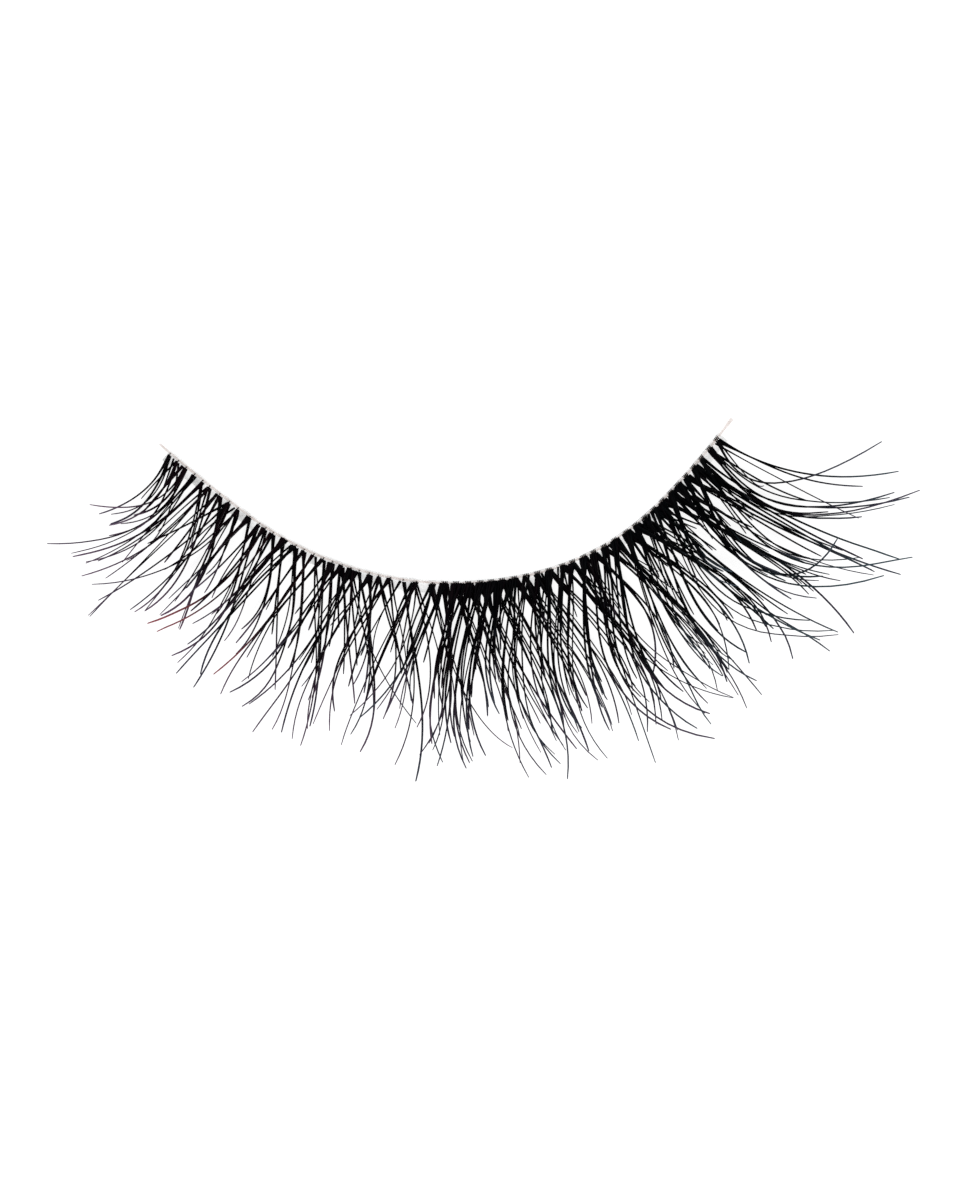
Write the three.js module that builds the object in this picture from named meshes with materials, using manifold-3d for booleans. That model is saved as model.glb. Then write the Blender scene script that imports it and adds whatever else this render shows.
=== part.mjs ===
// A false eyelash strip, lying flat: knots of hair tied side by side round a clear thread,
// on a clear film that is curved like an eyelid's edge. Lengths are in millimetres and +Z is up.
// The hairs leave the film towards -Y and curl upwards. The origin is on the underside of the
// film, below the thread, halfway along the haired stretch.
import * as THREE from "three";
import { mergeVertices } from "three/addons/utils/BufferGeometryUtils.js";
import Module from "manifold-3d";

const wasm = await Module();
wasm.setup();

// Driving dimensions
const BAND_LENGTH = 32; // the haired stretch, measured along its curve
const LASH_LENGTH = 10; // how far out a full-length hair reaches, seen from above
const FILM_WIDTH = 0.75;
const FILM_THICKNESS = 0.08;
const FILM_EDGE = 0.02; // the film's edge behind the knots
const THREAD_DIAMETER = 0.13;
const LEFT_STUB = 0.6; // bare thread past the film
const RIGHT_STUB = 1.0;
const KNOT_CLEARANCE = 0.025; // between a knot and the thread in it, and the film under it
const KNOT_WALL = 0.09; // hair wound round the thread
const KNOT_EDGE = 0.01; // winding to each side of a knot's strands
const STRAND_WIDTH = 0.14; // two or three hairs that lie together
const STRAND_HEIGHT = 0.12;
const STRAND_GAP = 0.03; // between strands side by side at a knot, or one above the other
const CURL_RISE = 3.8; // a full-length hair's tip above its root
const CURL_START = 2; // the hair lies straight up to here
const SETTLE_LENGTH = 1.15; // the hair comes down to its own height up to here
const ROOT_ANGLES = { left: 55, right: -30 }; // where the legs leave the winding, up from level
const SPLIT = 0.5; // how far apart a leg's two strands end
const SPLIT_LEAN = 0.12; // the difference of their slopes along the band
const SHORT_STRAND = 0.84; // the second strand's length, as a share of the first's
const SINGLE_REACH = 0.7; // a leg shorter than this share of the lash length has one strand

const STEP_CROWDING = 1.3; // above 1, a strand's cross-sections lie closer together near its root

// Colours and surfaces
const HAIR_COLOUR = 0x0b090a;
const FILM_COLOUR = 0xdedad4;
const THREAD_COLOUR = 0xd8c8bd;
const HAIR_ROUGHNESS = 0.35;
const CLEAR_ROUGHNESS = 0.25;
const CLEAR_OPACITY = 0.5;

// Counts of the mesh
const LAYERS = 3; // heights that neighbouring legs on one side take in turn
const STRAND_SIDES = 3;
const STRAND_STEPS = 5;
const KNOT_SIDES = 5;
const THREAD_SIDES = 6;
const FILM_STEPS = 32;
const THREAD_STEPS = 34;

// A strand's three-sided cross-section, where its corners are 1 from its middle
const SECTION_WIDTH = Math.sqrt(3);
const SECTION_HEIGHT = 1.5;
const SECTION_BELOW = 0.5; // from its middle down to its flat side
const CONE_MIDDLE = 0.5; // a cone's middle, as a share of its length

const WELD_DISTANCE = 1e-4; // vertices that lie closer together are one

// The band's curve as tangent arcs, from its left end to its right one: each arc's share of the
// haired stretch and how far it turns. The left end starts down to the right.
const START_HEADING = -40.5;
const ARC_COLUMNS = ["share", "turn"];
const ARC_ROWS = [
  [0.16, 4],
  [0.47, 50],
  [0.22, 31],
  [0.15, 8],
];

// The knots from left to right. at is a knot's place, as a share of the haired stretch. Its left
// and right legs each have a lean, the slope along the band at the knot, and end at a drift along
// the band from the knot and a reach out from it, as shares of the lash length.
const BEND = 2.6; // how late in its length a leg turns from its lean towards its end
const KNOT_COLUMNS = ["at", "leftLean", "leftDrift", "leftReach", "rightLean", "rightDrift", "rightReach"];
const KNOT_ROWS = [
  [0.003, 0.2, -0.065, 0.46, 0.45, 0, 0.46],
  [0.02, 0.4, -0.055, 0.47, 0.6, 0.1, 0.55],
  [0.036, 0.2, -0.23, 0.455, 0.3, -0.085, 0.51],
  [0.053, 0.05, -0.325, 0.74, 0.2, -0.13, 0.685],
  [0.069, -0.1, -0.25, 0.705, 0.6, 0.13, 0.725],
  [0.083, -0.05, -0.21, 0.75, 0.5, 0.12, 0.69],
  [0.103, -0.15, -0.125, 0.88, 0.55, 0.13, 0.66],
  [0.122, -0.2, -0.21, 0.79, 0.3, 0.16, 0.66],
  [0.139, -0.1, -0.33, 0.75, 0.45, 0.12, 0.44],
  [0.162, -0.15, -0.07, 0.57, 0.4, 0.08, 0.79],
  [0.18, -0.1, -0.055, 0.45, 0.2, 0.125, 0.865],
  [0.192, 0, -0.17, 0.73, 0.3, 0.105, 0.59],
  [0.206, 0, -0.145, 0.735, 0.45, 0.12, 0.62],
  [0.225, -0.15, -0.145, 0.6, 0.42, 0.25, 0.7],
  [0.247, -0.3, -0.15, 0.85, 0.45, 0.09, 0.84],
  [0.261, -0.15, -0.075, 0.57, 0.42, 0.155, 0.89],
  [0.278, -0.15, -0.145, 0.76, 0.45, 0.205, 0.92],
  [0.294, -0.3, -0.13, 0.83, 0.35, 0.17, 0.815],
  [0.309, -0.15, -0.16, 0.73, 0.35, 0.115, 0.675],
  [0.325, -0.3, -0.16, 0.64, 0.35, 0.215, 0.65],
  [0.339, -0.15, -0.175, 0.815, 0.45, 0.24, 0.7],
  [0.353, -0.2, -0.17, 0.935, 0.4, 0.175, 0.88],
  [0.369, -0.3, -0.12, 0.9, 0.25, 0.09, 0.59],
  [0.384, -0.1, -0.1, 0.8, 0.5, 0.23, 0.62],
  [0.403, -0.4, -0.115, 0.81, 0.35, 0.13, 0.74],
  [0.423, -0.4, -0.125, 0.47, 0.25, 0.135, 0.99],
  [0.444, -0.35, -0.175, 0.865, 0.42, 0.115, 0.8],
  [0.469, -0.2, -0.24, 0.715, 0.3, 0.17, 0.76],
  [0.488, -0.4, -0.185, 0.67, 0.15, 0.005, 0.91],
  [0.506, -0.25, -0.085, 0.8, 0.35, 0.18, 0.75],
  [0.525, -0.35, -0.11, 0.89, 0.3, 0.225, 0.96],
  [0.544, -0.3, -0.1, 0.92, 0.3, 0.275, 0.895],
  [0.561, -0.35, -0.145, 0.89, 0.35, 0.175, 1.03],
  [0.578, -0.3, -0.08, 0.66, 0.35, 0.2, 0.92],
  [0.597, -0.25, -0.06, 0.99, 0.4, 0.2, 0.86],
  [0.616, -0.35, -0.065, 0.99, 0.4, 0.18, 0.83],
  [0.634, -0.3, -0.09, 0.72, 0.35, 0.17, 0.95],
  [0.653, -0.35, -0.095, 0.89, 0.45, 0.175, 0.84],
  [0.675, -0.4, -0.085, 0.975, 0.35, 0.13, 1.025],
  [0.692, -0.4, -0.105, 0.98, 0.25, 0.085, 0.98],
  [0.711, -0.4, -0.14, 0.85, 0.1, 0.22, 0.98],
  [0.728, -0.35, -0.04, 0.96, 0.3, 0.06, 0.7],
  [0.747, -0.45, -0.01, 1.1, 0.3, 0.1, 1.06],
  [0.766, -0.45, -0.09, 1.015, 0.15, 0.1, 1.05],
  [0.788, -0.25, -0.11, 1.03, 0.3, 0.07, 0.89],
  [0.806, -0.35, -0.085, 0.86, 0.35, 0.095, 1.015],
  [0.825, -0.35, -0.14, 0.79, 0.2, 0.145, 1.115],
  [0.844, -0.4, -0.12, 0.98, 0, 0.15, 1.08],
  [0.863, -0.4, 0.105, 1.09, 0.3, 0.16, 1.14],
  [0.881, -0.5, -0.095, 0.57, 0.2, 0.2, 0.78],
  [0.897, -0.2, -0.02, 0.8, 0.05, 0.25, 1.03],
  [0.916, -0.35, 0.22, 1.07, 0.2, 0.27, 1.13],
  [0.934, -0.5, -0.06, 0.89, 0.1, 0.25, 1.08],
  [0.953, -0.4, 0.245, 1.125, -0.05, 0.48, 0.935],
  [0.972, -0.3, 0.46, 0.955, 0, 0.35, 0.86],
  [0.991, -0.2, 0.5, 0.66, -0.05, 0.405, 0.815],
];

// Rows of numbers as objects with the columns' names.
function named(columns, rows) {
  return rows.map((row) => Object.fromEntries(row.map((value, i) => [columns[i], value])));
}

const ARCS = named(ARC_COLUMNS, ARC_ROWS);
const KNOTS = named(KNOT_COLUMNS, KNOT_ROWS);

// Sizes that follow from the driving ones
const knotInner = THREAD_DIAMETER / 2 + KNOT_CLEARANCE;
const knotOuter = knotInner + KNOT_WALL;
const knotMiddle = knotInner + KNOT_WALL / 2;
const filmBack = knotOuter + FILM_EDGE;
const threadHeight = FILM_THICKNESS + KNOT_CLEARANCE + knotOuter;
const layerStep = STRAND_HEIGHT + STRAND_GAP;
const lowestLayer = (STRAND_HEIGHT * SECTION_BELOW) / SECTION_HEIGHT; // its flat side is at 0
const rootSpread = (STRAND_WIDTH + STRAND_GAP) / 2;
const knotWidth = 2 * (rootSpread + STRAND_WIDTH / 2 + KNOT_EDGE);

// A point of the band's curve, s along it from the left end of the haired stretch. Before and
// after that stretch the curve runs on straight.
function alongArcs(s) {
  let x = 0;
  let y = 0;
  let heading = THREE.MathUtils.degToRad(START_HEADING);
  let left = s;
  for (const arc of ARCS) {
    if (left <= 0) break;
    const length = arc.share * BAND_LENGTH;
    const bend = THREE.MathUtils.degToRad(arc.turn) / length;
    const next = heading + bend * Math.min(left, length);
    x += (Math.sin(next) - Math.sin(heading)) / bend;
    y += (Math.cos(heading) - Math.cos(next)) / bend;
    heading = next;
    left -= length;
  }
  const straight = s < 0 ? s : Math.max(left, 0);
  return {
    x: x + straight * Math.cos(heading),
    y: y + straight * Math.sin(heading),
    heading,
  };
}

const middle = alongArcs(BAND_LENGTH / 2);

// The point s along the band and out from it, at the height z.
function place(s, out, z) {
  const { x, y, heading } = alongArcs(s);
  return new THREE.Vector3(
    x - middle.x + out * Math.sin(heading),
    y - middle.y - out * Math.cos(heading),
    z,
  );
}

// A closed geometry as a solid, with its shared vertices merged.
function solidOf(geometry) {
  const bare = geometry.clone();
  bare.deleteAttribute("normal");
  bare.deleteAttribute("uv");
  const merged = mergeVertices(bare, WELD_DISTANCE);
  return new wasm.Manifold(
    new wasm.Mesh({
      numProp: 3,
      vertProperties: merged.attributes.position.array,
      triVerts: new Uint32Array(merged.index.array),
    }),
  );
}

// A solid's surface as a geometry.
function geometryOf(solid) {
  const mesh = solid.getMesh();
  const geometry = new THREE.BufferGeometry();
  geometry.setAttribute("position", new THREE.BufferAttribute(new Float32Array(mesh.vertProperties), 3));
  geometry.setIndex(new THREE.BufferAttribute(new Uint32Array(mesh.triVerts), 1));
  geometry.computeVertexNormals();
  return geometry;
}

function meshOf(name, geometry, material) {
  const mesh = new THREE.Mesh(geometry, material);
  mesh.name = name;
  return mesh;
}

// The band's film: a long flat box bent along the band.
function filmGeometry() {
  const geometry = new THREE.BoxGeometry(BAND_LENGTH, FILM_WIDTH, FILM_THICKNESS, FILM_STEPS, 1, 1);
  const position = geometry.attributes.position;
  for (let i = 0; i < position.count; i++) {
    const s = position.getX(i) + BAND_LENGTH / 2;
    const out = FILM_WIDTH / 2 - filmBack - position.getY(i);
    const z = position.getZ(i) + FILM_THICKNESS / 2;
    position.setXYZ(i, ...place(s, out, z).toArray());
  }
  geometry.computeVertexNormals();
  return geometry;
}

// The thread: a round section drawn along the band, from the end of one stub to the other's.
class ThreadPath extends THREE.Curve {
  getPoint(t, target = new THREE.Vector3()) {
    const length = LEFT_STUB + BAND_LENGTH + RIGHT_STUB;
    return target.copy(place(t * length - LEFT_STUB, 0, threadHeight));
  }
}

function threadGeometry() {
  const corners = [];
  for (let i = 0; i < THREAD_SIDES; i++) {
    const angle = ((i + 0.5) * 2 * Math.PI) / THREAD_SIDES;
    corners.push(new THREE.Vector2(Math.cos(angle), Math.sin(angle)).multiplyScalar(THREAD_DIAMETER / 2));
  }
  return new THREE.ExtrudeGeometry(new THREE.Shape(corners), {
    steps: THREAD_STEPS,
    extrudePath: new ThreadPath(),
  });
}

// The winding of one knot: a ring round the thread at s.
function windingSolid(s) {
  const profile = [
    new THREE.Vector2(knotInner, -knotWidth / 2),
    new THREE.Vector2(knotOuter, -knotWidth / 2),
    new THREE.Vector2(knotOuter, knotWidth / 2),
    new THREE.Vector2(knotInner, knotWidth / 2),
    new THREE.Vector2(knotInner, -knotWidth / 2),
  ];
  const ring = new THREE.LatheGeometry(profile, KNOT_SIDES);
  ring.rotateZ(-Math.PI / 2);
  ring.rotateZ(alongArcs(s).heading);
  const centre = place(s, 0, threadHeight);
  ring.translate(centre.x, centre.y, centre.z);
  return solidOf(ring);
}

// A strand's height at a distance out from the band: it leaves the knot at one height, comes to
// the height of its layer and then curls up.
function strandHeight(out, rootHeight, layerHeight) {
  const settled = THREE.MathUtils.smoothstep(out, 0, SETTLE_LENGTH);
  const curled = Math.max(0, out - CURL_START) / (LASH_LENGTH - CURL_START);
  return THREE.MathUtils.lerp(rootHeight, layerHeight, settled) + CURL_RISE * curled ** 2;
}

// One tapered strand: a thin three-sided cone bent along its path, with a flat side below. Its
// root is inside the knot's winding.
function strandSolid({ s, rootOut, rootHeight, layerHeight, lean, drift, reach }) {
  const cone = new THREE.ConeGeometry(1, 1, STRAND_SIDES, STRAND_STEPS);
  cone.scale(STRAND_WIDTH / SECTION_WIDTH, 1, STRAND_HEIGHT / SECTION_HEIGHT);
  const position = cone.attributes.position;
  for (let i = 0; i < position.count; i++) {
    const share = position.getY(i) + CONE_MIDDLE;
    const out = rootOut + (reach - rootOut) * share ** STEP_CROWDING;
    const t = out / reach;
    const along = s + lean * out + (drift - lean * reach) * t ** BEND;
    const taper = 1 + share; // on top of the cone's own, so that it keeps its thickness for longer
    const side = -position.getX(i) * taper;
    const up = position.getZ(i) * taper;
    const middlePoint = place(along, out, strandHeight(out, rootHeight, layerHeight));
    const { heading } = alongArcs(along);
    position.setXYZ(
      i,
      middlePoint.x + side * Math.cos(heading),
      middlePoint.y + side * Math.sin(heading),
      middlePoint.z + up,
    );
  }
  return solidOf(cone);
}

// One leg: two strands with their roots side by side. The second one is shorter and lies on the
// side of the knot's other leg, and a short leg goes without it.
function legStrands(knot, index, side) {
  const left = side === "left";
  const inward = left ? 1 : -1;
  const s = knot.at * BAND_LENGTH;
  const layer = (index % LAYERS) + (left ? LAYERS : 0);
  const rootAngle = THREE.MathUtils.degToRad(ROOT_ANGLES[side]);
  const first = {
    s: s - inward * rootSpread,
    rootOut: knotMiddle * Math.cos(rootAngle),
    rootHeight: threadHeight + knotMiddle * Math.sin(rootAngle),
    layerHeight: lowestLayer + layer * layerStep,
    lean: knot[side + "Lean"],
    drift: knot[side + "Drift"] * LASH_LENGTH,
    reach: knot[side + "Reach"] * LASH_LENGTH,
  };
  if (knot[side + "Reach"] < SINGLE_REACH) return [strandSolid(first)];
  const second = {
    ...first,
    s: s + inward * rootSpread,
    lean: first.lean + inward * SPLIT_LEAN,
    drift: first.drift * SHORT_STRAND + inward * SPLIT,
    reach: first.reach * SHORT_STRAND,
  };
  return [strandSolid(first), strandSolid(second)];
}

function knotGeometry(knot, index) {
  let solid = windingSolid(knot.at * BAND_LENGTH);
  for (const side of ["left", "right"])
    for (const strand of legStrands(knot, index, side)) solid = solid.add(strand);
  return geometryOf(solid);
}

function clearMaterial(color) {
  return new THREE.MeshStandardMaterial({
    color,
    roughness: CLEAR_ROUGHNESS,
    metalness: 0,
    transparent: true,
    opacity: CLEAR_OPACITY,
  });
}

function hairMaterial() {
  return new THREE.MeshStandardMaterial({ color: HAIR_COLOUR, roughness: HAIR_ROUGHNESS, metalness: 0 });
}

const strip = new THREE.Group();
strip.add(meshOf("band_film", filmGeometry(), clearMaterial(FILM_COLOUR)));
strip.add(meshOf("band_thread", threadGeometry(), clearMaterial(THREAD_COLOUR)));
KNOTS.forEach((knot, index) => {
  const number = String(index + 1).padStart(2, "0");
  strip.add(meshOf("hair_knot_" + number, knotGeometry(knot, index), hairMaterial()));
});

export default strip;
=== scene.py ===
"""A false eyelash strip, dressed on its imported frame: fine hairs stand for the plain strands.

Lengths are in millimetres until a mesh is made, in metres. +Z is up and the hairs point to -Y.
"""
import math
import random

import bpy
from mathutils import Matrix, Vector


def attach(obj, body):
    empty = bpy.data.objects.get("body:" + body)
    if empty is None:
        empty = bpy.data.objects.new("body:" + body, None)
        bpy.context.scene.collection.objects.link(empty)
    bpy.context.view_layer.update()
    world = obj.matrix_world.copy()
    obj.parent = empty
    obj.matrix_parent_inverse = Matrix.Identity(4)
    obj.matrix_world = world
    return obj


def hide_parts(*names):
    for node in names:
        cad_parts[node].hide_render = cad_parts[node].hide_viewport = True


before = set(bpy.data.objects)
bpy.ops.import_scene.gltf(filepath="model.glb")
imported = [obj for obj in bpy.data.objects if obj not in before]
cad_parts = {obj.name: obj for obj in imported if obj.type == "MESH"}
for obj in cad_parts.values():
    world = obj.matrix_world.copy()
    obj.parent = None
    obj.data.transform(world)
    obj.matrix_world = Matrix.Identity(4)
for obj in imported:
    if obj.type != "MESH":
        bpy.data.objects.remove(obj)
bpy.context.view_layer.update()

MM = 0.001

# The band, as in the part's source. Each arc has its share of the length and its turn in degrees.
BAND_LENGTH = 32.0
LASH_LENGTH = 10.0
FILM_WIDTH = 0.75
FILM_THICKNESS = 0.08
FILM_BACK = 0.2  # from the thread's middle to the film's back edge
THREAD_DIAMETER = 0.13
THREAD_HEIGHT = 0.285
LEFT_STUB = 0.6
RIGHT_STUB = 1.0
START_HEADING = -40.5
ARCS = [(0.16, 4.0), (0.47, 50.0), (0.22, 31.0), (0.15, 8.0)]

# The film's looks: a sum of waves moves its front edge and its top, and one wave its back edge
FILM_STEPS = 320
FILM_LIFT = 0.01  # keeps the film's underside off the floor's own plane
FILM_SEED = 7
FILM_WAVE_PACES = (0.9, 2.3, 4.1, 7.7)  # in radians for each millimetre
FILM_WAVE_SIZES = (0.5, 1.0)
FILM_WAVE_SUM = 3  # the sum of the waves is divided by this
FRONT_INSET = 0.04
FRONT_WOBBLE = 0.05
BACK_INSET = 0.02
BACK_WAVE = {"size": 0.015, "pace": 3.1}
TOP_SHARE = 0.9  # of the film's thickness, with the wobble on top
TOP_WOBBLE = 0.1

# The film's cross-section from its back to its front: the edge that a corner goes by, how far in
# front of that edge it is, its height as a share of the film's and how milky the film is there
FILM_COLUMNS = ("edge", "in_front", "height", "shade")
FILM_ROWS = [
    ("back", 0, 0, 0.1),
    ("back", 0, 0.25, 0.1),
    ("back", 0.06, 0.75, 0.1),
    ("back", 0.2, 1, 0.6),
    ("front", -0.25, 0.95, 1),
    ("front", -0.08, 0.6, 1),
    ("front", 0, 0.25, 0.7),
    ("front", 0, 0, 0.7),
]

# A bead of glue along the film's back edge
RIM_SIDES = 8
RIM_OUT = -0.1
RIM_HEIGHT = 0.09
RIM_DIAMETERS = (0.01, 0.05)  # at the left and right ends
RIM_SHADE = 0.8
RIM_WAVE = {"size": 0.25, "pace": 2.7, "slow_pace": 0.31}  # in radians for each step

# The thread's looks
THREAD_STEPS = 240
THREAD_SIDES = 10
THREAD_SHADE = 1.0
THREAD_WAVE = {"size": 0.04, "pace": 5}
STUB_SHARE = 1.5  # how much glue thickens the right stub at its end

# The clear pieces' colours, how milky their patches are and the patches' scale for each metre
FILM_LOOK = {"colour": (0.85, 0.86, 0.85), "alpha_low": 0.08, "alpha_high": 0.5, "scale": 1200}
THREAD_LOOK = {"colour": (0.98, 0.82, 0.75), "alpha_low": 0.2, "alpha_high": 0.5, "scale": 3000}
GREY_SHARE = 0.7  # how bright the grey patches are, as a share of the milky ones

# Heights of the hairs, as in the part's source
LOWEST_LAYER = 0.05
LAYER_STEP = 0.15
LAYERS = 3
CURL_RISE = 3.8
CURL_START = 2.0
SETTLE_LENGTH = 1.15

# Heights that the part's source doesn't have
STRAY_HEIGHT = 0.5  # of a stray hair, where it lies straight
HAIR_LIFT = 0.03  # keeps the thickest hairs above the floor
LAYER_JITTER = 0.08
RISE_SHARES = (0.88, 1.04)  # of the curl's rise

# One hair
HAIR_SIDES = 6
HAIR_STEPS = 22
STEP_CROWDING = 1.15  # above 1, its cross-sections lie closer together near its root
HAIR_DIAMETERS = (0.065, 0.115)  # at its middle
ROOT_SHARE = 1.65  # its thickness at the root, as a share of that
ROOT_LENGTH = 1.9  # the length that is thicker
TAPER_START = 0.5  # it thins from this share of its length
TIP_SHARE = 0.9  # its thickness near the tip
END_SHARE = 0.7  # what is left of that at its very end
POINT_SHARE = 2  # the point's length, as a share of the hair's last radius
WAVE_SIZES = (0, 0.05)
WAVE_PACES = (0.5, 1.3)  # in radians for each millimetre
WAVE_GROWTH = 2  # a hair waves in full from here on
PHASES = (0, 6.3)

# The hairs of a thin and a thick leg, where they come off the thread in degrees up from level, the
# pitch of their roots along it, and the turns and hair of such a knot's winding
THIN_LEG = {"hairs": 2, "left": 40, "right": -20, "pitch": 0.07, "turns": 0.6, "wound": 0.035}
THICK_LEG = {"hairs": 4, "left": 90, "right": 65, "pitch": 0.105, "turns": 3, "wound": 0.05}
DENSE_FROM = 0.48  # from here to the right end every knot is wound as a thick one
WINDING_PITCH = 0.09
WINDING_STEPS = 12  # for each turn
WINDING_SHADE = 0.5  # the highest that a winding has

# The legs
FIRST_SEED = 1000
LEG_RADIUS = 0.12  # from the thread's middle to a leg's roots
LEG_JITTER = 0.07
ROOT_JITTER = 0.045
PINCH = 0.7  # how much a leg's hairs draw together past the knot
PINCH_LENGTH = 1.1
LEAN_JITTER = 0.1
REACH_SHARES = (0.62, 0.98)  # of a leg's reach, for each hair after the first
BEND = 2.6  # how late a leg turns from its slope at the knot towards its end
FAN = 0.75  # how far apart a leg's first and last hair end
FAN_BEND = 2.3  # how late they fan out
FAN_JITTER = 0.15

# The short hairs between the legs
SHORT_LEAN = 0.45
SHORT_REACHES = (1.9, 4.4)
SHORT_SPREAD = 0.2
SHORT_DRIFTS = (0.5, 1.1)  # as shares of the drift of a straight hair
SHORT_ENDS_AT = 0.7  # so that a short hair stays dark to its tip

# Hair colours by a hair's shade, at its root and at its tip: blue-grey, violet-grey and reddish
ROOT_COLOURS = [
    (0, (0.0005, 0.0014, 0.002)),
    (0.45, (0.0014, 0.0008, 0.0016)),
    (0.9, (0.005, 0.0011, 0.003)),
    (1, (0.01, 0.002, 0.003)),
]
TIP_COLOURS = [
    (0, (0.065, 0.1, 0.12)),
    (0.45, (0.076, 0.064, 0.1)),
    (0.9, (0.17, 0.1, 0.165)),
    (1, (0.36, 0.09, 0.11)),
]
FADE_START = 0.55  # the tip's colour begins at this share of the length
REDDISH_KNOTS = (12, 13, 17)  # whose first hair on the left is reddish at its tip
SHADES = (0.75, 0.15)  # of the other hairs, at the left and right ends
SHADE_SPREAD = 0.3
HIGHEST_SHADE = 0.9

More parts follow.
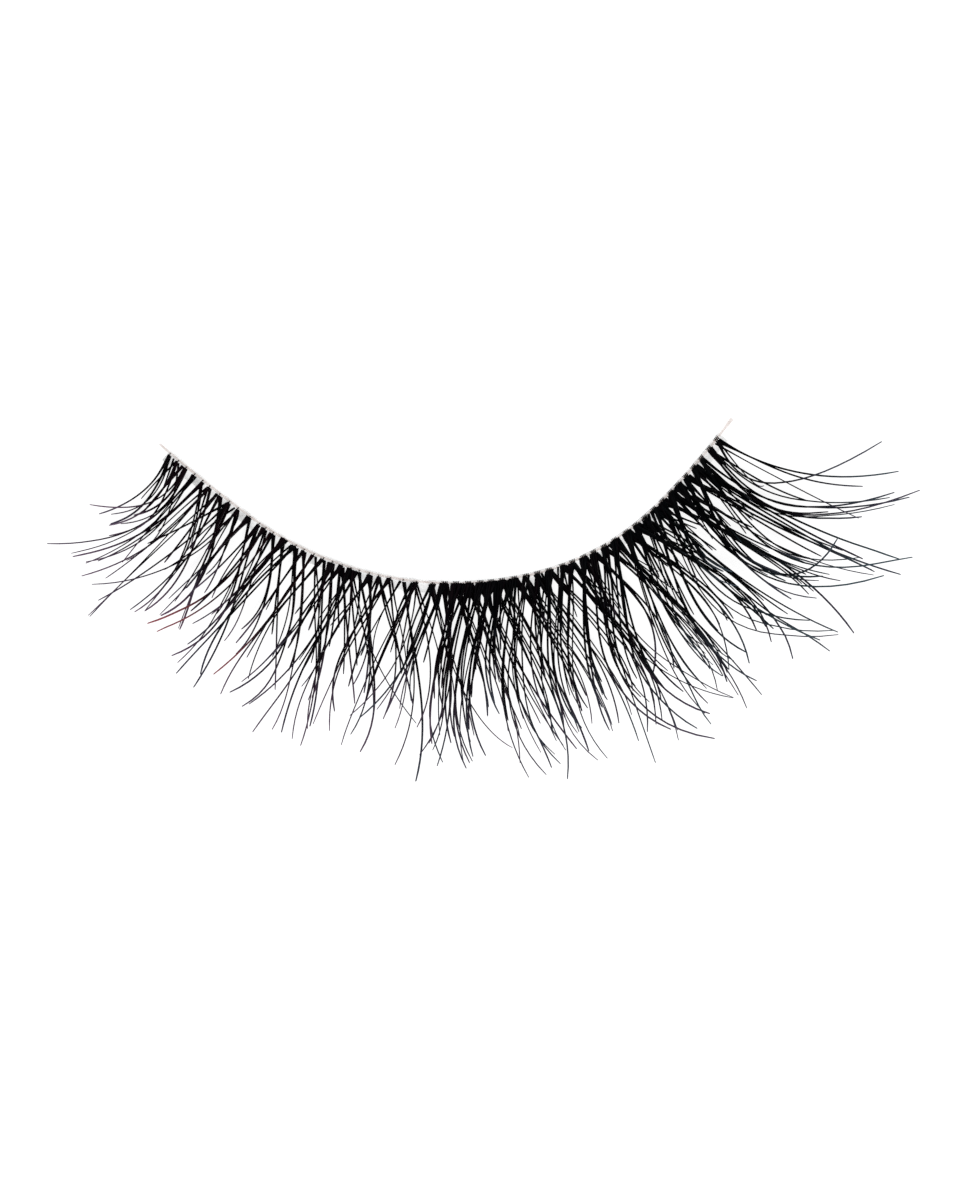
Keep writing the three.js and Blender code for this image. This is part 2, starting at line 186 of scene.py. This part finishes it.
# The knots from left to right: the place as a share of the band, and for each leg the slope at the
# knot, the drift along the band and the reach, as shares of the lash length, and the number of
# hairs. Then the number of short hairs.
KNOT_COLUMNS = ("at", "left_lean", "left_drift", "left_reach", "left_hairs",
                "right_lean", "right_drift", "right_reach", "right_hairs", "short_hairs")
KNOT_ROWS = [
    (0.003, 0.2, -0.065, 0.46, 1, 0.45, 0, 0.46, 2, 0),
    (0.02, 0.4, -0.055, 0.47, 2, 0.6, 0.1, 0.55, 1, 1),
    (0.036, 0.2, -0.23, 0.455, 2, 0.3, -0.085, 0.51, 2, 1),
    (0.053, 0.05, -0.325, 0.74, 2, 0.2, -0.13, 0.685, 1, 1),
    (0.069, -0.1, -0.25, 0.705, 2, 0.6, 0.13, 0.725, 2, 0),
    (0.083, -0.05, -0.21, 0.75, 2, 0.5, 0.12, 0.69, 1, 2),
    (0.103, -0.15, -0.125, 0.88, 1, 0.55, 0.13, 0.66, 2, 2),
    (0.122, -0.2, -0.21, 0.79, 1, 0.3, 0.16, 0.66, 2, 2),
    (0.139, -0.1, -0.33, 0.75, 2, 0.45, 0.12, 0.44, 2, 2),
    (0.162, -0.15, -0.07, 0.57, 3, 0.4, 0.08, 0.79, 2, 1),
    (0.18, -0.1, -0.055, 0.45, 2, 0.2, 0.125, 0.865, 2, 0),
    (0.192, 0, -0.17, 0.73, 2, 0.3, 0.105, 0.59, 2, 0),
    (0.206, 0, -0.145, 0.735, 2, 0.45, 0.12, 0.62, 2, 0),
    (0.225, -0.15, -0.145, 0.6, 4, 0.42, 0.25, 0.7, 2, 1),
    (0.247, -0.3, -0.15, 0.85, 2, 0.45, 0.09, 0.84, 3, 1),
    (0.261, -0.15, -0.075, 0.57, 2, 0.42, 0.155, 0.89, 2, 0),
    (0.278, -0.15, -0.145, 0.76, 2, 0.45, 0.205, 0.92, 2, 0),
    (0.294, -0.3, -0.13, 0.83, 2, 0.35, 0.17, 0.815, 2, 0),
    (0.309, -0.15, -0.16, 0.73, 2, 0.35, 0.115, 0.675, 2, 2),
    (0.325, -0.3, -0.16, 0.64, 3, 0.35, 0.215, 0.65, 2, 2),
    (0.339, -0.15, -0.175, 0.815, 3, 0.45, 0.24, 0.7, 2, 2),
    (0.353, -0.2, -0.17, 0.935, 2, 0.4, 0.175, 0.88, 2, 2),
    (0.369, -0.3, -0.12, 0.9, 2, 0.25, 0.09, 0.59, 3, 1),
    (0.384, -0.1, -0.1, 0.8, 2, 0.5, 0.23, 0.62, 2, 0),
    (0.403, -0.4, -0.115, 0.81, 3, 0.35, 0.13, 0.74, 2, 0),
    (0.423, -0.4, -0.125, 0.47, 2, 0.25, 0.135, 0.99, 2, 0),
    (0.444, -0.35, -0.175, 0.865, 3, 0.42, 0.115, 0.8, 2, 3),
    (0.469, -0.2, -0.24, 0.715, 3, 0.3, 0.17, 0.76, 2, 2),
    (0.488, -0.4, -0.185, 0.67, 4, 0.15, 0.005, 0.91, 4, 2),
    (0.506, -0.25, -0.085, 0.8, 5, 0.35, 0.18, 0.75, 4, 3),
    (0.525, -0.35, -0.11, 0.89, 5, 0.3, 0.225, 0.96, 4, 3),
    (0.544, -0.3, -0.1, 0.92, 5, 0.3, 0.275, 0.895, 4, 3),
    (0.561, -0.35, -0.145, 0.89, 5, 0.35, 0.175, 1.03, 4, 3),
    (0.578, -0.3, -0.08, 0.66, 5, 0.35, 0.2, 0.92, 4, 3),
    (0.597, -0.25, -0.06, 0.99, 4, 0.4, 0.2, 0.86, 4, 3),
    (0.616, -0.35, -0.065, 0.99, 4, 0.4, 0.18, 0.83, 3, 3),
    (0.634, -0.3, -0.09, 0.72, 3, 0.35, 0.17, 0.95, 4, 3),
    (0.653, -0.35, -0.095, 0.89, 4, 0.45, 0.175, 0.84, 3, 3),
    (0.675, -0.4, -0.085, 0.975, 4, 0.35, 0.13, 1.025, 4, 2),
    (0.692, -0.4, -0.105, 0.98, 3, 0.25, 0.085, 0.98, 3, 3),
    (0.711, -0.4, -0.14, 0.85, 4, 0.1, 0.22, 0.98, 3, 2),
    (0.728, -0.35, -0.04, 0.96, 3, 0.3, 0.06, 0.7, 3, 2),
    (0.747, -0.45, -0.01, 1.1, 3, 0.3, 0.1, 1.06, 5, 3),
    (0.766, -0.45, -0.09, 1.015, 4, 0.15, 0.1, 1.05, 5, 3),
    (0.788, -0.25, -0.11, 1.03, 5, 0.3, 0.07, 0.89, 5, 3),
    (0.806, -0.35, -0.085, 0.86, 4, 0.35, 0.095, 1.015, 4, 3),
    (0.825, -0.35, -0.14, 0.79, 4, 0.2, 0.145, 1.115, 3, 4),
    (0.844, -0.4, -0.12, 0.98, 4, 0, 0.15, 1.08, 4, 4),
    (0.863, -0.4, 0.105, 1.09, 3, 0.3, 0.16, 1.14, 4, 4),
    (0.881, -0.5, -0.095, 0.57, 4, 0.2, 0.2, 0.78, 4, 4),
    (0.897, -0.2, -0.02, 0.8, 4, 0.05, 0.25, 1.03, 4, 3),
    (0.916, -0.35, 0.22, 1.07, 3, 0.2, 0.27, 1.13, 3, 4),
    (0.934, -0.5, -0.06, 0.89, 3, 0.1, 0.25, 1.08, 4, 4),
    (0.953, -0.4, 0.245, 1.125, 3, -0.05, 0.48, 0.935, 3, 1),
    (0.972, -0.3, 0.46, 0.955, 3, 0, 0.35, 0.86, 2, 0),
    (0.991, -0.45, 0.5, 0.66, 1, 0.18, 0.405, 0.815, 2, 0),
]

# Hairs that stray from their knot's legs: places along the band and out from it, and the hair's
# diameter, in millimetres
STRAY_COLUMNS = ("knot", "root", "middle_along", "middle_out", "tip_along", "tip_out", "diameter")
STRAY_ROWS = [
    (1, 0.4, 0.75, 1.0, 1.0, 1.75, 0.065),
    (4, 1.7, 1.6, 3.5, 0.45, 6.9, 0.065),
    (4, 1.7, 1.67, 3.0, 1.7, 5.7, 0.065),
    (6, 2.65, 2.5, 4.0, 2.05, 8.8, 0.065),
    (8, 3.9, 3.9, 4.0, 3.35, 7.3, 0.08),
    (8, 4.0, 3.95, 3.5, 3.9, 6.9, 0.065),
    (9, 4.45, 4.75, 2.6, 5.5, 6.6, 0.065),
    (9, 4.5, 4.9, 2.0, 4.55, 6.6, 0.065),
    (21, 10.85, 12.6, 3.6, 14.75, 7.05, 0.065),
    (27, 14.2, 13.9, 3.5, 12.4, 7.15, 0.065),
    (28, 15.0, 16.5, 5.5, 18.05, 8.35, 0.065),
    (40, 22.15, 23.1, 5.5, 24.9, 9.8, 0.065),
    (41, 22.75, 22.4, 5.0, 22.15, 10.8, 0.075),
    (50, 28.2, 28.6, 6.3, 31.5, 7.8, 0.1),
    (56, 31.7, 31.2, 2.4, 31.35, 3.3, 0.065),
    (56, 31.5, 32.2, 4.6, 32.85, 8.0, 0.065),
]

# The camera, straight above the middle of the photograph
FRAME_HEIGHT = 60.0
VIEW_CENTRE = (1.565, -0.835)
CAMERA_HEIGHT = 800.0
SENSOR = 36.0

FLOOR_HALF = 1.5  # in metres


def along_arcs(s):
    """The point and heading of the band's curve, s along it from the left end of the haired stretch."""
    x = y = 0.0
    heading = math.radians(START_HEADING)
    left = s
    for share, turn in ARCS:
        if left <= 0:
            break
        length = share * BAND_LENGTH
        bend = math.radians(turn) / length
        after = heading + bend * min(left, length)
        x += (math.sin(after) - math.sin(heading)) / bend
        y += (math.cos(heading) - math.cos(after)) / bend
        heading = after
        left -= length
    straight = s if s < 0 else max(left, 0.0)
    return x + straight * math.cos(heading), y + straight * math.sin(heading), heading


MIDDLE = along_arcs(BAND_LENGTH / 2)


def place(s, out, z):
    """The point s along the band and out from it, at the height z."""
    x, y, heading = along_arcs(s)
    return Vector((
        x - MIDDLE[0] + out * math.sin(heading),
        y - MIDDLE[1] - out * math.cos(heading),
        z,
    ))


def smooth(t):
    """An even rise from 0 to 1 as t goes from 0 to 1, flat at both ends."""
    t = min(max(t, 0.0), 1.0)
    return t * t * (3 - 2 * t)


class Shape:
    """The vertices and faces of one piece, and each vertex's values along and shade."""

    def __init__(self):
        self.points = []
        self.faces = []
        self.along = []
        self.shade = []

    def ring(self, points, along, shades):
        """Adds the vertices of one cross-section and gives their numbers."""
        start = len(self.points)
        self.points += points
        self.along += [along] * len(points)
        self.shade += shades
        return range(start, start + len(points))

    def bridge(self, a, b):
        """Adds the faces between two cross-sections."""
        n = len(a)
        self.faces += [(a[i], a[(i + 1) % n], b[(i + 1) % n], b[i]) for i in range(n)]

    def tube(self, path, radii, sides, shade, pointed=False, ends_at=1.0):
        """A closed round tube along path. Its value along runs from 0 to ends_at."""
        tangents = [
            (path[min(i + 1, len(path) - 1)] - path[max(i - 1, 0)]).normalized()
            for i in range(len(path))
        ]
        side = tangents[0].orthogonal().normalized()
        last = None
        for i, (point, radius, tangent) in enumerate(zip(path, radii, tangents)):
            side = (side - tangent * side.dot(tangent)).normalized()
            other = tangent.cross(side)
            corners = []
            for k in range(sides):
                angle = 2 * math.pi * k / sides
                corners.append(point + radius * (side * math.cos(angle) + other * math.sin(angle)))
            now = self.ring(corners, ends_at * i / (len(path) - 1), [shade] * sides)
            if last is None:
                self.faces.append(tuple(reversed(now)))
            else:
                self.bridge(last, now)
            last = now
        if pointed:
            point = path[-1] + tangents[-1] * radii[-1] * POINT_SHARE
            tip = self.ring([point], ends_at, [shade])[0]
            self.faces += [(last[k], last[(k + 1) % sides], tip) for k in range(sides)]
        else:
            self.faces.append(tuple(last))

    def piece(self, name, material):
        """The piece as an object in metres."""
        mesh = bpy.data.meshes.new(name)
        mesh.from_pydata([p * MM for p in self.points], [], self.faces)
        for label, values in (("along", self.along), ("shade", self.shade)):
            mesh.attributes.new(label, "FLOAT", "POINT").data.foreach_set("value", values)
        mesh.polygons.foreach_set("use_smooth", [True] * len(mesh.polygons))
        mesh.materials.append(material)
        made = bpy.data.objects.new(name, mesh)
        bpy.context.scene.collection.objects.link(made)
        return made


# Materials


def new_material(name):
    """A material with its nodes, links and shader."""
    material = bpy.data.materials.new(name)
    material.use_nodes = True
    nodes = material.node_tree.nodes
    return material, nodes, material.node_tree.links, nodes["Principled BSDF"]


def attribute(nodes, label):
    """A value that each vertex has, as a node."""
    made = nodes.new("ShaderNodeAttribute")
    made.attribute_name = label
    return made


def colour_ramp(nodes, stops):
    """A ramp through stops, each a position and a colour. The first is at 0 and the last at 1."""
    made = nodes.new("ShaderNodeValToRGB")
    elements = made.color_ramp.elements
    elements[0].color = (*stops[0][1], 1)
    elements[1].color = (*stops[-1][1], 1)
    for position, colour in stops[1:-1]:
        elements.new(position).color = (*colour, 1)
    return made


def noise(nodes, links, scale, detail):
    """Noise that is fixed to the piece, with its scale for each metre."""
    coordinates = nodes.new("ShaderNodeTexCoord")
    made = nodes.new("ShaderNodeTexNoise")
    made.inputs["Scale"].default_value = scale
    made.inputs["Detail"].default_value = detail
    links.new(coordinates.outputs["Object"], made.inputs["Vector"])
    return made


def in_range(nodes, links, value, start=0.0, end=1.0, low=0.0, high=1.0):
    """The value taken from the range start to end, to the range low to high."""
    made = nodes.new("ShaderNodeMapRange")
    made.inputs["From Min"].default_value = start
    made.inputs["From Max"].default_value = end
    made.inputs["To Min"].default_value = low
    made.inputs["To Max"].default_value = high
    links.new(value, made.inputs["Value"])
    return made


def mixed(nodes, links, factor):
    """A mix of two colours by factor."""
    made = nodes.new("ShaderNodeMix")
    made.data_type = "RGBA"
    links.new(factor, made.inputs["Factor"])
    return made


def add_bump(nodes, links, shader, height, strength, distance):
    """Bump on the shader, with its distance in metres."""
    bump = nodes.new("ShaderNodeBump")
    bump.inputs["Strength"].default_value = strength
    bump.inputs["Distance"].default_value = distance
    links.new(height, bump.inputs["Height"])
    links.new(bump.outputs["Normal"], shader.inputs["Normal"])


def hair_material():
    """Black gloss fibre, tinted by its shade and paler at its tip, with fine streaks."""
    material, nodes, links, shader = new_material("black_hair")
    along = attribute(nodes, "along")
    shade = attribute(nodes, "shade")
    root = colour_ramp(nodes, ROOT_COLOURS)
    tip = colour_ramp(nodes, TIP_COLOURS)
    for ramp in (root, tip):
        links.new(shade.outputs["Fac"], ramp.inputs["Fac"])
    fade = in_range(nodes, links, along.outputs["Fac"], start=FADE_START)
    fade.interpolation_type = "SMOOTHSTEP"
    colour = mixed(nodes, links, fade.outputs["Result"])
    links.new(root.outputs["Color"], colour.inputs["A"])
    links.new(tip.outputs["Color"], colour.inputs["B"])
    links.new(colour.outputs["Result"], shader.inputs["Base Color"])
    streaks = noise(nodes, links, scale=30000, detail=3)
    rough = in_range(nodes, links, streaks.outputs["Fac"], low=0.3, high=0.5)
    links.new(rough.outputs["Result"], shader.inputs["Roughness"])
    add_bump(nodes, links, shader, streaks.outputs["Fac"], strength=0.15, distance=0.000003)
    shader.inputs["Specular IOR Level"].default_value = 0.04
    return material


def clear_material(name, colour, alpha_low, alpha_high, scale):
    """Clear plastic with milky and grey patches. Its shade is how milky it is."""
    material, nodes, links, shader = new_material(name)
    patches = noise(nodes, links, scale=scale, detail=4)
    alpha = in_range(
        nodes, links, patches.outputs["Fac"], start=0.3, end=0.7, low=alpha_low, high=alpha_high,
    )
    milky = nodes.new("ShaderNodeMath")
    milky.operation = "MULTIPLY"
    links.new(alpha.outputs["Result"], milky.inputs[0])
    links.new(attribute(nodes, "shade").outputs["Fac"], milky.inputs[1])
    links.new(milky.outputs["Value"], shader.inputs["Alpha"])
    tint = mixed(nodes, links, patches.outputs["Fac"])
    tint.inputs["A"].default_value = (*colour, 1)
    tint.inputs["B"].default_value = (*[GREY_SHARE * c for c in colour], 1)
    links.new(tint.outputs["Result"], shader.inputs["Base Color"])
    add_bump(nodes, links, shader, patches.outputs["Fac"], strength=0.3, distance=0.00002)
    shader.inputs["Roughness"].default_value = 0.25
    shader.inputs["Specular IOR Level"].default_value = 0.4
    return material


def floor_material():
    """A plain near-white sheet with painted light: it glows a little, which keeps it white where the
    strip's shadows fall.
    """
    material, nodes, links, shader = new_material("pale_sheet_painted_glow")
    fibres = noise(nodes, links, scale=40, detail=2)
    tint = mixed(nodes, links, fibres.outputs["Fac"])
    tint.inputs["A"].default_value = (0.45, 0.45, 0.45, 1)
    tint.inputs["B"].default_value = (0.42, 0.42, 0.42, 1)
    links.new(tint.outputs["Result"], shader.inputs["Base Color"])
    shader.inputs["Roughness"].default_value = 0.9
    shader.inputs["Specular IOR Level"].default_value = 0.0
    # painted light: the sheet glows, which washes out the shadows that the strip casts on it
    shader.inputs["Emission Color"].default_value = (1, 1, 1, 1)
    shader.inputs["Emission Strength"].default_value = 0.85
    return material


# Hairs


def hair_height(out, root_height, layer_height, rise):
    """A hair's height at a distance out from the band: it comes to its layer, then curls up."""
    curled = max(0.0, out - CURL_START) / (LASH_LENGTH - CURL_START)
    settled = smooth(out / SETTLE_LENGTH)
    return root_height + (layer_height + HAIR_LIFT - root_height) * settled + rise * curled ** 2


def by_hairs(hairs, label):
    """A value between a thin leg's and a thick one's."""
    share = (hairs - THIN_LEG["hairs"]) / (THICK_LEG["hairs"] - THIN_LEG["hairs"])
    return THIN_LEG[label] + (THICK_LEG[label] - THIN_LEG[label]) * min(max(share, 0.0), 1.0)


def root_of(side, hairs):
    """How far out and how high a leg's hairs come off the thread. A thick leg's cover it."""
    angle = math.radians(by_hairs(hairs, side))
    return LEG_RADIUS * math.cos(angle), THREAD_HEIGHT + LEG_RADIUS * math.sin(angle)


def hair_path(leg, reach, shift, fan, tilt, rise, wave, layer_height):
    """A hair's path, from the thread to its tip. It follows its leg's curve, fanned out."""
    path = []
    root_out, root_height = root_of(leg["side"], leg["hairs"])
    size, phase, pace = wave
    for i in range(HAIR_STEPS + 1):
        out = root_out + (reach - root_out) * (i / HAIR_STEPS) ** STEP_CROWDING
        t = max(0.0, out) / leg["reach"]
        along = leg["s"] + shift * (1 - PINCH * smooth(out / PINCH_LENGTH)) + leg["lean"] * out
        along += (leg["drift"] - leg["lean"] * leg["reach"]) * t ** BEND
        along += fan * t ** FAN_BEND + tilt * out * (1 - t)
        along += size * math.sin(phase + pace * out) * smooth(out / WAVE_GROWTH)
        height = hair_height(out, root_height, layer_height, rise)
        path.append(place(along, out, height))
    return path


def hair_radii(path, diameter):
    """Thickest at the root, and thinner over the last part."""
    radii = []
    for i, point in enumerate(path):
        t = i / (len(path) - 1)
        rooted = 1 - smooth((point - path[0]).length / ROOT_LENGTH)
        tapered = smooth((t - TAPER_START) / (1 - TAPER_START))
        share = 1 + (ROOT_SHARE - 1) * rooted - (1 - TIP_SHARE) * tapered
        radii.append(diameter / 2 * share)
    radii[-1] *= END_SHARE
    return radii


def add_hair(shape, path, diameter, shade, ends_at=1.0):
    """A pointed hair along path."""
    radii = hair_radii(path, diameter)
    shape.tube(path, radii, HAIR_SIDES, shade, pointed=True, ends_at=ends_at)


def hair_shade(at, rng):
    """A hair's shade, by its knot's place along the band."""
    left, right = SHADES
    shade = left + (right - left) * at + rng.uniform(-SHADE_SPREAD, SHADE_SPREAD)
    return min(max(shade, 0.0), HIGHEST_SHADE)


def legs_of(knot):
    """A knot's left and right legs, in millimetres."""
    for side in ("left", "right"):
        yield {
            "side": side,
            "s": knot["at"] * BAND_LENGTH,
            "lean": knot[side + "_lean"],
            "drift": knot[side + "_drift"] * LASH_LENGTH,
            "reach": knot[side + "_reach"] * LASH_LENGTH,
            "hairs": knot[side + "_hairs"],
        }


def stray_path(stray):
    """A stray hair's path: a bend through its root, middle and tip."""
    root_out, root_height = root_of("left", hairs=1)
    root = Vector((stray["root"], root_out))
    middle = Vector((stray["middle_along"], stray["middle_out"]))
    tip = Vector((stray["tip_along"], stray["tip_out"]))
    pull = 2 * middle - (root + tip) / 2
    path = []
    for i in range(HAIR_STEPS + 1):
        t = i / HAIR_STEPS
        along, out = (1 - t) ** 2 * root + 2 * t * (1 - t) * pull + t ** 2 * tip
        path.append(place(along, out, hair_height(out, root_height, STRAY_HEIGHT, CURL_RISE)))
    return path


def add_winding(shape, s, kind, rng):
    """Hair wound round the thread in a tight helix. On a thin knot it only hugs the thread's front."""
    radius = (THREAD_DIAMETER + kind["wound"]) / 2
    steps = round(kind["turns"] * WINDING_STEPS)
    path = []
    for i in range(steps + 1):
        turns = kind["turns"] * (i / steps - 0.5)
        angle = 2 * math.pi * turns
        across = turns * WINDING_PITCH
        path.append(place(
            s + across,
            radius * math.cos(angle),
            THREAD_HEIGHT + radius * math.sin(angle),
        ))
    radii = [kind["wound"] / 2] * len(path)
    shape.tube(path, radii, HAIR_SIDES, rng.random() * WINDING_SHADE, ends_at=0.0)


def add_leg(shape, index, knot, leg, rng):
    """A leg's hairs. The first is the longest, and the last ends nearest the knot's other leg."""
    inward = 1 if leg["side"] == "left" else -1
    layer = index % LAYERS + (LAYERS if leg["side"] == "left" else 0)
    leg["s"] += rng.uniform(-LEG_JITTER, LEG_JITTER)
    pitch = by_hairs(leg["hairs"], "pitch")
    for k in range(leg["hairs"]):
        share = k / max(1, leg["hairs"] - 1)
        reach = leg["reach"] * (1 if k == 0 else rng.uniform(*REACH_SHARES))
        shift = inward * pitch * (k - (leg["hairs"] - 1) / 2)
        path = hair_path(
            leg,
            reach,
            shift=shift + rng.uniform(-ROOT_JITTER, ROOT_JITTER),
            fan=inward * FAN * share + rng.uniform(-FAN_JITTER, FAN_JITTER),
            tilt=rng.uniform(-LEAN_JITTER, LEAN_JITTER),
            rise=CURL_RISE * rng.uniform(*RISE_SHARES),
            wave=(rng.uniform(*WAVE_SIZES), rng.uniform(*PHASES), rng.uniform(*WAVE_PACES)),
            layer_height=LOWEST_LAYER + layer * LAYER_STEP + rng.uniform(0, LAYER_JITTER),
        )
        diameter = rng.uniform(*HAIR_DIAMETERS)
        reddish = k == 0 and leg["side"] == "left" and index + 1 in REDDISH_KNOTS
        shade = 1.0 if reddish else hair_shade(knot["at"], rng)
        add_hair(shape, path, diameter, shade, ends_at=reach / leg["reach"])


def add_short_hair(shape, knot, rng):
    """A short hair between a knot's legs."""
    lean = rng.uniform(-SHORT_LEAN, SHORT_LEAN)
    reach = rng.uniform(*SHORT_REACHES)
    leg = {
        "side": rng.choice(("left", "right")),
        "s": knot["at"] * BAND_LENGTH + rng.uniform(-SHORT_SPREAD, SHORT_SPREAD),
        "lean": lean,
        "drift": lean * reach * rng.uniform(*SHORT_DRIFTS),
        "reach": reach,
        "hairs": knot["right_hairs"],
    }
    path = hair_path(
        leg,
        reach,
        shift=0,
        fan=0,
        tilt=0,
        rise=CURL_RISE,
        wave=(0, 0, 0),
        layer_height=LOWEST_LAYER + rng.uniform(0, 2 * LAYERS) * LAYER_STEP,
    )
    diameter = rng.uniform(*HAIR_DIAMETERS)
    add_hair(shape, path, diameter, hair_shade(knot["at"], rng), ends_at=SHORT_ENDS_AT)


def add_knot(index, knot, material):
    """A knot's winding, its two legs, its short hairs and its stray ones, as one piece."""
    rng = random.Random(FIRST_SEED + index)
    shape = Shape()
    kind = THICK_LEG if knot["at"] > DENSE_FROM else THIN_LEG
    add_winding(shape, knot["at"] * BAND_LENGTH, kind, rng)
    for leg in legs_of(knot):
        add_leg(shape, index, knot, leg, rng)
    for _ in range(knot["short_hairs"]):
        add_short_hair(shape, knot, rng)
    for row in STRAY_ROWS:
        stray = dict(zip(STRAY_COLUMNS, row))
        if stray["knot"] == index + 1:
            add_hair(shape, stray_path(stray), stray["diameter"], hair_shade(knot["at"], rng))
    number = f"{index + 1:02d}"
    made = shape.piece(f"lash_hairs_{number}", material)
    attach(made, "root")
    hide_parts(f"hair_knot_{number}")


# The clear band


def add_film(material):
    """The glue film: a thin ribbon, thickest under the thread, with an uneven front edge."""
    rng = random.Random(FILM_SEED)
    waves = [(rng.uniform(*FILM_WAVE_SIZES), rng.uniform(*PHASES), pace) for pace in FILM_WAVE_PACES]
    corners = [dict(zip(FILM_COLUMNS, row)) for row in FILM_ROWS]
    shades = [corner["shade"] for corner in corners]
    shape = Shape()
    last = None
    for i in range(FILM_STEPS + 1):
        s = BAND_LENGTH * i / FILM_STEPS
        wobble = sum(size * math.sin(phase + pace * s) for size, phase, pace in waves) / FILM_WAVE_SUM
        edges = {
            "front": FILM_WIDTH - FILM_BACK - FRONT_INSET + FRONT_WOBBLE * wobble,
            "back": -FILM_BACK + BACK_INSET + BACK_WAVE["size"] * math.sin(BACK_WAVE["pace"] * s),
        }
        top = FILM_THICKNESS * (TOP_SHARE + TOP_WOBBLE * wobble)
        section = [
            place(s, edges[corner["edge"]] + corner["in_front"], max(FILM_LIFT, corner["height"] * top))
            for corner in corners
        ]
        now = shape.ring(section, s / BAND_LENGTH, shades)
        if last is None:
            shape.faces.append(tuple(now))
        else:
            shape.bridge(now, last)
        last = now
    shape.faces.append(tuple(reversed(last)))
    add_rim(shape)
    made = shape.piece("glue_film", material)
    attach(made, "root")
    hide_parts("band_film")


def add_rim(shape):
    """The bead of glue along the film's back edge, thicker towards the right end."""
    thin, thick = RIM_DIAMETERS
    path = []
    radii = []
    for i in range(FILM_STEPS + 1):
        path.append(place(BAND_LENGTH * i / FILM_STEPS, RIM_OUT, RIM_HEIGHT))
        wave = math.sin(RIM_WAVE["pace"] * i) * math.sin(RIM_WAVE["slow_pace"] * i)
        radii.append((thin + (thick - thin) * i / FILM_STEPS) / 2 * (1 + RIM_WAVE["size"] * wave))
    shape.tube(path, radii, RIM_SIDES, RIM_SHADE)


def add_thread(material):
    """The thread, with its two bare ends."""
    shape = Shape()
    path = []
    radii = []
    for i in range(THREAD_STEPS + 1):
        s = -LEFT_STUB + (LEFT_STUB + BAND_LENGTH + RIGHT_STUB) * i / THREAD_STEPS
        path.append(place(s, 0, THREAD_HEIGHT))
        glued = 1 + (STUB_SHARE - 1) * smooth(s - BAND_LENGTH)
        waved = 1 - THREAD_WAVE["size"] + THREAD_WAVE["size"] * math.sin(THREAD_WAVE["pace"] * s)
        radii.append(THREAD_DIAMETER / 2 * glued * waved)
    shape.tube(path, radii, THREAD_SIDES, THREAD_SHADE)
    made = shape.piece("clear_thread", material)
    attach(made, "root")
    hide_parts("band_thread")


# Floor, light and camera


def add_stage():
    """The floor, a plain square under the strip."""
    half = FLOOR_HALF
    corners = [(-half, -half, 0), (half, -half, 0), (half, half, 0), (-half, half, 0)]
    mesh = bpy.data.meshes.new("floor")
    mesh.from_pydata(corners, [], [(0, 1, 2, 3)])
    mesh.materials.append(floor_material())
    floor = bpy.data.objects.new("floor", mesh)
    bpy.context.scene.collection.objects.link(floor)


def add_light(name, position, power, size):
    """A round soft light that points at the strip, with its place and size in metres."""
    lamp = bpy.data.lights.new(name, "AREA")
    lamp.energy = power
    lamp.shape = "DISK"
    lamp.size = size
    made = bpy.data.objects.new(name, lamp)
    made.location = position
    made.rotation_euler = (-Vector(position)).to_track_quat("-Z", "Y").to_euler()
    bpy.context.scene.collection.objects.link(made)


def add_world():
    """A soft, almost white sky."""
    world = bpy.data.worlds.new("studio")
    world.use_nodes = True
    sky = world.node_tree.nodes["Background"]
    sky.inputs["Color"].default_value = (0.97, 0.98, 1.0, 1)
    sky.inputs["Strength"].default_value = 0.3
    bpy.context.scene.world = world


def add_camera():
    """A long lens that looks straight down."""
    lens = bpy.data.cameras.new("camera")
    lens.sensor_fit = "VERTICAL"
    lens.sensor_height = SENSOR
    lens.lens = SENSOR * CAMERA_HEIGHT / FRAME_HEIGHT
    lens.clip_start = 0.01
    lens.clip_end = 10
    camera = bpy.data.objects.new("camera", lens)
    camera.location = (VIEW_CENTRE[0] * MM, VIEW_CENTRE[1] * MM, CAMERA_HEIGHT * MM)
    bpy.context.scene.collection.objects.link(camera)
    bpy.context.scene.camera = camera


add_world()
add_stage()
add_light("front_light", position=(0.05, -0.35, 0.3), power=1.2, size=0.3)
add_light("back_light", position=(-0.1, 0.3, 0.35), power=0.5, size=0.3)
add_camera()

black_hair = hair_material()
for index, row in enumerate(KNOT_ROWS):
    add_knot(index, dict(zip(KNOT_COLUMNS, row)), black_hair)
add_film(clear_material("clear_film", **FILM_LOOK))
add_thread(clear_material("clear_thread", **THREAD_LOOK))

bpy.context.scene.view_settings.view_transform = "Standard"
